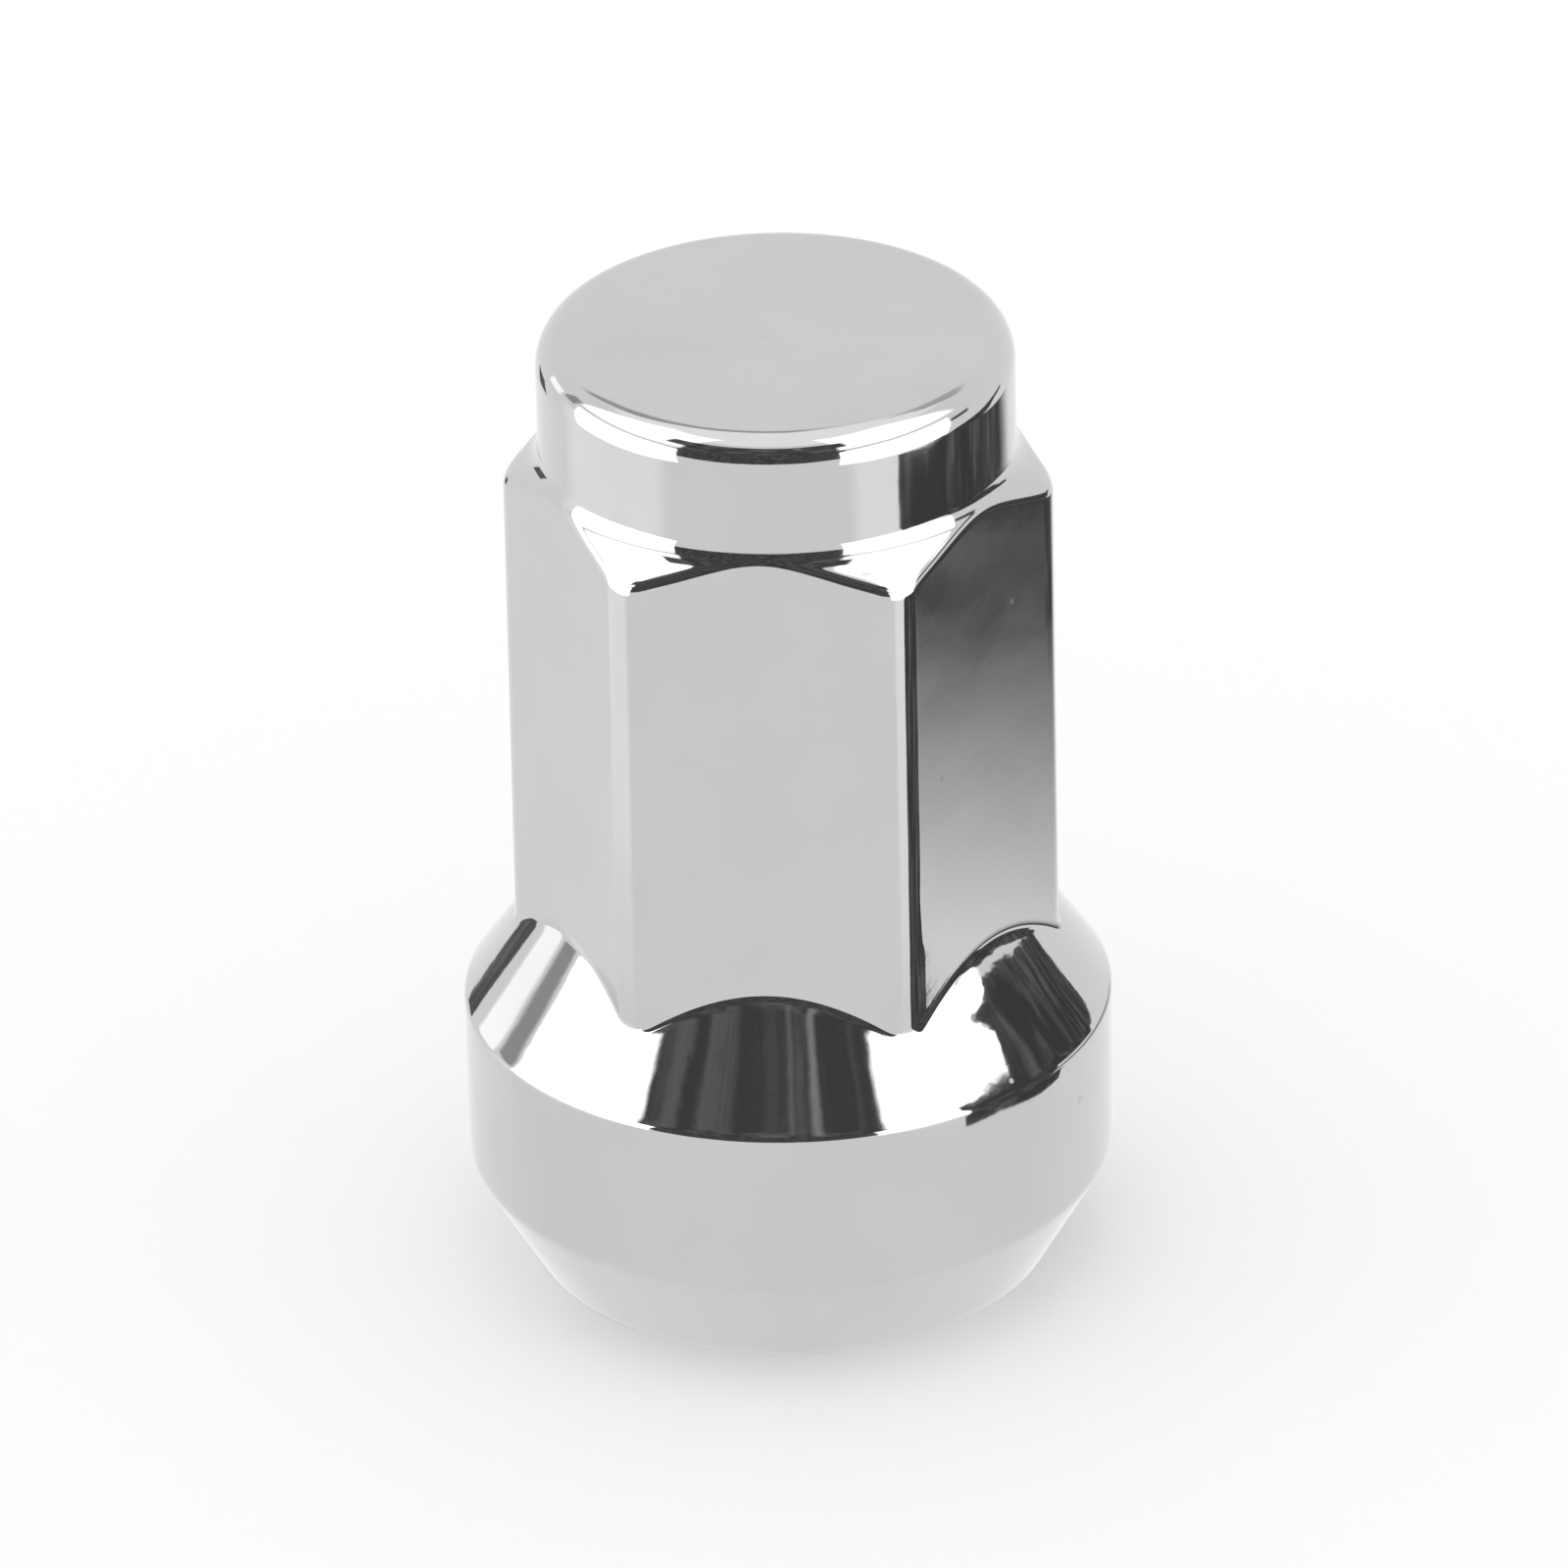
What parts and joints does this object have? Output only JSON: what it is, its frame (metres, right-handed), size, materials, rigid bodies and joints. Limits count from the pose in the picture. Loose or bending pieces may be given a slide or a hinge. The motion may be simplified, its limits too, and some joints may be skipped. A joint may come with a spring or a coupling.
{
  "type": "locking wheel nut",
  "caption": "Closed-end hexagon wheel nut: round collar and flat cap on top, tall hexagon barrel, bulged lower end with a conical seat and a blind threaded hole.",
  "frame": {"origin": "centre of the open end, on the plane that the nut stands on", "axes": "+Z along the nut's axis up to the closed cap; one flat of the hexagon faces -Y"},
  "size_m": [0.0254, 0.0254, 0.0398],
  "materials": {
    "chrome_plate": "polished chrome plate"
  },
  "bodies": {
    "root": {"nut_body": "chrome_plate"}
  },
  "joints": []
}
